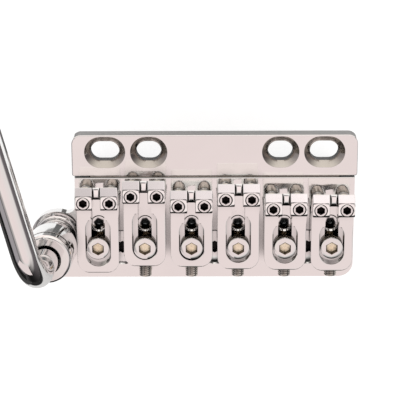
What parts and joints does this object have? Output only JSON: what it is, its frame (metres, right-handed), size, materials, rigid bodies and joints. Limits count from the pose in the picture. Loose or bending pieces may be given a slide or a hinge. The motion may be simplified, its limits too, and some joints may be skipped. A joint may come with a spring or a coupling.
{
  "type": "guitar tremolo bridge",
  "caption": "Polished six-string tremolo bridge for an electric guitar: slotted front plate, rocking bridge plate with adjustable saddles, string block below and a bent swing arm.",
  "frame": {"origin": "middle of the screw slots, on the underside of the front plate where it sits on the guitar's top", "axes": "+X across the strings, away from the arm's side; +Y towards the neck; +Z out of the guitar's top"},
  "size_m": [0.112, 0.1436, 0.0758],
  "materials": {
    "polished_nickel": "polished",
    "steel": "satin",
    "bush_nylon": "matte"
  },
  "bodies": {
    "front": {"front_plate": "polished_nickel", "pivot_rod": "steel"},
    "bridge": {"bridge_plate": "polished_nickel", "sustain_block": "steel", "block_screws": "polished_nickel", "arm_socket": "polished_nickel", "arm_bush": "bush_nylon"},
    "arm": {"arm": "polished_nickel"},
    "collar": {"arm_collar": "polished_nickel"},
    "saddle_1": {"saddle_1": "polished_nickel"},
    "intonation_screw_1": {"intonation_screw_1": "steel"},
    "lock_screw_1": {"lock_screw_1": "steel"},
    "height_screw_1_left": {"height_screw_1_left": "steel"},
    "height_screw_1_right": {"height_screw_1_right": "steel"},
    "saddle_2": {"saddle_2": "polished_nickel"},
    "intonation_screw_2": {"intonation_screw_2": "steel"},
    "lock_screw_2": {"lock_screw_2": "steel"},
    "height_screw_2_left": {"height_screw_2_left": "steel"},
    "height_screw_2_right": {"height_screw_2_right": "steel"},
    "saddle_3": {"saddle_3": "polished_nickel"},
    "intonation_screw_3": {"intonation_screw_3": "steel"},
    "lock_screw_3": {"lock_screw_3": "steel"},
    "height_screw_3_left": {"height_screw_3_left": "steel"},
    "height_screw_3_right": {"height_screw_3_right": "steel"},
    "saddle_4": {"saddle_4": "polished_nickel"},
    "intonation_screw_4": {"intonation_screw_4": "steel"},
    "lock_screw_4": {"lock_screw_4": "steel"},
    "height_screw_4_left": {"height_screw_4_left": "steel"},
    "height_screw_4_right": {"height_screw_4_right": "steel"},
    "saddle_5": {"saddle_5": "polished_nickel"},
    "intonation_screw_5": {"intonation_screw_5": "steel"},
    "lock_screw_5": {"lock_screw_5": "steel"},
    "height_screw_5_left": {"height_screw_5_left": "steel"},
    "height_screw_5_right": {"height_screw_5_right": "steel"},
    "saddle_6": {"saddle_6": "polished_nickel"},
    "intonation_screw_6": {"intonation_screw_6": "steel"},
    "lock_screw_6": {"lock_screw_6": "steel"},
    "height_screw_6_left": {"height_screw_6_left": "steel"},
    "height_screw_6_right": {"height_screw_6_right": "steel"}
  },
  "joints": [
    {"name": "tremolo_tilt", "type": "hinge", "parent": "front", "child": "bridge", "pos_m": [0, -0.00613, 0.00295], "axis": [-1, 0, 0], "range_deg": [-10, 20], "stiffness_Nm_per_rad": 6},
    {"name": "arm_swing", "type": "hinge", "parent": "bridge", "child": "arm", "pos_m": [-0.03815, -0.0211, 0.004], "axis": [-0.0811, 0, 0.9967], "continuous": true},
    {"name": "arm_collar_turn", "type": "hinge", "parent": "bridge", "child": "collar", "pos_m": [-0.03815, -0.0211, 0.004], "axis": [-0.0811, 0, 0.9967], "range_deg": [-90, 90]},
    {"name": "saddle_1_slide", "type": "slide", "parent": "bridge", "child": "saddle_1", "axis": [0, 1, 0], "range_m": [-0.0013, 0.00165]},
    {"name": "intonation_screw_1_turn", "type": "hinge", "parent": "bridge", "child": "intonation_screw_1", "pos_m": [-0.028, -0.0255, 0.00572], "axis": [0, 1, 0], "range_deg": [-1218, 966]},
    {"name": "lock_screw_1_turn", "type": "hinge", "parent": "bridge", "child": "lock_screw_1", "pos_m": [-0.028, -0.02246, 0.004], "axis": [0, 0, 1], "continuous": true},
    {"name": "height_screw_1_left_turn", "type": "hinge", "parent": "saddle_1", "child": "height_screw_1_left", "pos_m": [-0.03107, -0.00981, 0.004], "axis": [0, 0, 1], "continuous": true},
    {"name": "height_screw_1_right_turn", "type": "hinge", "parent": "saddle_1", "child": "height_screw_1_right", "pos_m": [-0.02493, -0.00981, 0.004], "axis": [0, 0, 1], "continuous": true},
    {"name": "saddle_2_slide", "type": "slide", "parent": "bridge", "child": "saddle_2", "axis": [0, 1, 0], "range_m": [-0.0025, 0.00005]},
    {"name": "intonation_screw_2_turn", "type": "hinge", "parent": "bridge", "child": "intonation_screw_2", "pos_m": [-0.0168, -0.0255, 0.00572], "axis": [0, 1, 0], "range_deg": [-66, 1830]},
    {"name": "lock_screw_2_turn", "type": "hinge", "parent": "bridge", "child": "lock_screw_2", "pos_m": [-0.0168, -0.02246, 0.004], "axis": [0, 0, 1], "continuous": true},
    {"name": "height_screw_2_left_turn", "type": "hinge", "parent": "saddle_2", "child": "height_screw_2_left", "pos_m": [-0.01987, -0.00818, 0.004], "axis": [0, 0, 1], "continuous": true},
    {"name": "height_screw_2_right_turn", "type": "hinge", "parent": "saddle_2", "child": "height_screw_2_right", "pos_m": [-0.01373, -0.00818, 0.004], "axis": [0, 0, 1], "continuous": true},
    {"name": "saddle_3_slide", "type": "slide", "parent": "bridge", "child": "saddle_3", "axis": [0, 1, 0], "range_m": [-0.0025, 0.00025]},
    {"name": "intonation_screw_3_turn", "type": "hinge", "parent": "bridge", "child": "intonation_screw_3", "pos_m": [-0.0056, -0.0255, 0.00572], "axis": [0, 1, 0], "range_deg": [-210, 1830]},
    {"name": "lock_screw_3_turn", "type": "hinge", "parent": "bridge", "child": "lock_screw_3", "pos_m": [-0.0056, -0.02246, 0.004], "axis": [0, 0, 1], "continuous": true},
    {"name": "height_screw_3_left_turn", "type": "hinge", "parent": "saddle_3", "child": "height_screw_3_left", "pos_m": [-0.00867, -0.01059, 0.004], "axis": [0, 0, 1], "continuous": true},
    {"name": "height_screw_3_right_turn", "type": "hinge", "parent": "saddle_3", "child": "height_screw_3_right", "pos_m": [-0.00253, -0.01059, 0.004], "axis": [0, 0, 1], "continuous": true},
    {"name": "saddle_4_slide", "type": "slide", "parent": "bridge", "child": "saddle_4", "axis": [0, 1, 0], "range_m": [-0.0025, 0.00085]},
    {"name": "intonation_screw_4_turn", "type": "hinge", "parent": "bridge", "child": "intonation_screw_4", "pos_m": [0.0056, -0.0255, 0.00572], "axis": [0, 1, 0], "range_deg": [-642, 1830]},
    {"name": "lock_screw_4_turn", "type": "hinge", "parent": "bridge", "child": "lock_screw_4", "pos_m": [0.0056, -0.02246, 0.004], "axis": [0, 0, 1], "continuous": true},
    {"name": "height_screw_4_left_turn", "type": "hinge", "parent": "saddle_4", "child": "height_screw_4_left", "pos_m": [0.00253, -0.00899, 0.004], "axis": [0, 0, 1], "continuous": true},
    {"name": "height_screw_4_right_turn", "type": "hinge", "parent": "saddle_4", "child": "height_screw_4_right", "pos_m": [0.00867, -0.00899, 0.004], "axis": [0, 0, 1], "continuous": true},
    {"name": "saddle_5_slide", "type": "slide", "parent": "bridge", "child": "saddle_5", "axis": [0, 1, 0], "range_m": [-0.0025, 0.00105]},
    {"name": "intonation_screw_5_turn", "type": "hinge", "parent": "bridge", "child": "intonation_screw_5", "pos_m": [0.0168, -0.0255, 0.00572], "axis": [0, 1, 0], "range_deg": [-786, 1830]},
    {"name": "lock_screw_5_turn", "type": "hinge", "parent": "bridge", "child": "lock_screw_5", "pos_m": [0.0168, -0.02246, 0.004], "axis": [0, 0, 1], "continuous": true},
    {"name": "height_screw_5_left_turn", "type": "hinge", "parent": "saddle_5", "child": "height_screw_5_left", "pos_m": [0.01373, -0.01141, 0.004], "axis": [0, 0, 1], "continuous": true},
    {"name": "height_screw_5_right_turn", "type": "hinge", "parent": "saddle_5", "child": "height_screw_5_right", "pos_m": [0.01987, -0.01141, 0.004], "axis": [0, 0, 1], "continuous": true},
    {"name": "saddle_6_slide", "type": "slide", "parent": "bridge", "child": "saddle_6", "axis": [0, 1, 0], "range_m": [-0.0025, 0.00135]},
    {"name": "intonation_screw_6_turn", "type": "hinge", "parent": "bridge", "child": "intonation_screw_6", "pos_m": [0.028, -0.0255, 0.00572], "axis": [0, 1, 0], "range_deg": [-1002, 1830]},
    {"name": "lock_screw_6_turn", "type": "hinge", "parent": "bridge", "child": "lock_screw_6", "pos_m": [0.028, -0.02246, 0.004], "axis": [0, 0, 1], "continuous": true},
    {"name": "height_screw_6_left_turn", "type": "hinge", "parent": "saddle_6", "child": "height_screw_6_left", "pos_m": [0.02493, -0.01169, 0.004], "axis": [0, 0, 1], "continuous": true},
    {"name": "height_screw_6_right_turn", "type": "hinge", "parent": "saddle_6", "child": "height_screw_6_right", "pos_m": [0.03107, -0.01169, 0.004], "axis": [0, 0, 1], "continuous": true}
  ],
  "couplings": [
    {"joint": "intonation_screw_1_turn", "follows": "saddle_1_slide", "rad_per_m": -12566},
    {"joint": "intonation_screw_2_turn", "follows": "saddle_2_slide", "rad_per_m": -12566},
    {"joint": "intonation_screw_3_turn", "follows": "saddle_3_slide", "rad_per_m": -12566},
    {"joint": "intonation_screw_4_turn", "follows": "saddle_4_slide", "rad_per_m": -12566},
    {"joint": "intonation_screw_5_turn", "follows": "saddle_5_slide", "rad_per_m": -12566},
    {"joint": "intonation_screw_6_turn", "follows": "saddle_6_slide", "rad_per_m": -12566}
  ]
}
